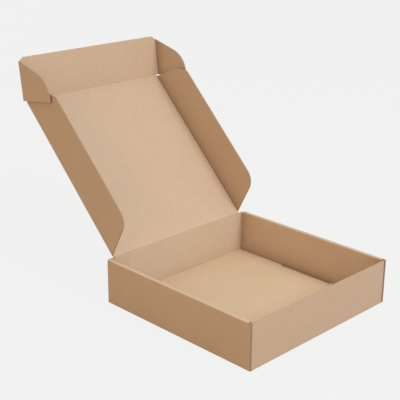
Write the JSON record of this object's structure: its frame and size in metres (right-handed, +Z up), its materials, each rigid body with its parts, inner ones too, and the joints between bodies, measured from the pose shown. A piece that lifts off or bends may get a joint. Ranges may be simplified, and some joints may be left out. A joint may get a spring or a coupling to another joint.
{
  "type": "corrugated mailer box",
  "caption": "Shallow square die-cut mailer folded from kraft corrugated board, with rolled double side walls and a hinged lid carrying dust flaps and a tuck flap with rounded ears.",
  "frame": {"origin": "middle of the tray's underside, on the surface it stands on", "axes": "+Z up, +Y from the front wall to the hinged back wall, +X to the right seen from the front"},
  "size_m": [0.32, 0.5354, 0.3633],
  "materials": {
    "kraft_board": "plain unbleached kraft liner, matt, slightly fibrous"
  },
  "bodies": {
    "tray": {"tray": "kraft_board"},
    "lid_panel": {"lid_panel": "kraft_board"},
    "tuck_flap": {"tuck_flap": "kraft_board"},
    "left_dust_flap": {"left_dust_flap": "kraft_board"},
    "right_dust_flap": {"right_dust_flap": "kraft_board"},
    "left_ear": {"left_ear": "kraft_board"},
    "right_ear": {"right_ear": "kraft_board"}
  },
  "joints": [
    {"name": "lid_hinge", "type": "hinge", "parent": "tray", "child": "lid_panel", "pos_m": [0, 0.154, 0.0752], "axis": [-1, 0, 0], "range_deg": [-135, 50]},
    {"name": "tuck_fold", "type": "hinge", "parent": "lid_panel", "child": "tuck_flap", "pos_m": [0, 0.36995, 0.29115], "axis": [-1, 0, 0], "range_deg": [-67.5, 37.5]},
    {"name": "left_dust_fold", "type": "hinge", "parent": "lid_panel", "child": "left_dust_flap", "pos_m": [-0.1455, 0.15312, 0.07608], "axis": [0, -0.7071, -0.7071], "range_deg": [-90, 0]},
    {"name": "right_dust_fold", "type": "hinge", "parent": "lid_panel", "child": "right_dust_flap", "pos_m": [0.1455, 0.15312, 0.07608], "axis": [0, 0.7071, 0.7071], "range_deg": [-90, 0]},
    {"name": "left_ear_fold", "type": "hinge", "parent": "tuck_flap", "child": "left_ear", "pos_m": [-0.1519, 0.36995, 0.29115], "axis": [0, -0.1305, -0.9914], "range_deg": [0, 90]},
    {"name": "right_ear_fold", "type": "hinge", "parent": "tuck_flap", "child": "right_ear", "pos_m": [0.1519, 0.36995, 0.29115], "axis": [0, 0.1305, 0.9914], "range_deg": [0, 90]}
  ],
  "couplings": [
    {"joint": "tuck_fold", "follows": "lid_hinge", "ratio": 0.5}
  ]
}
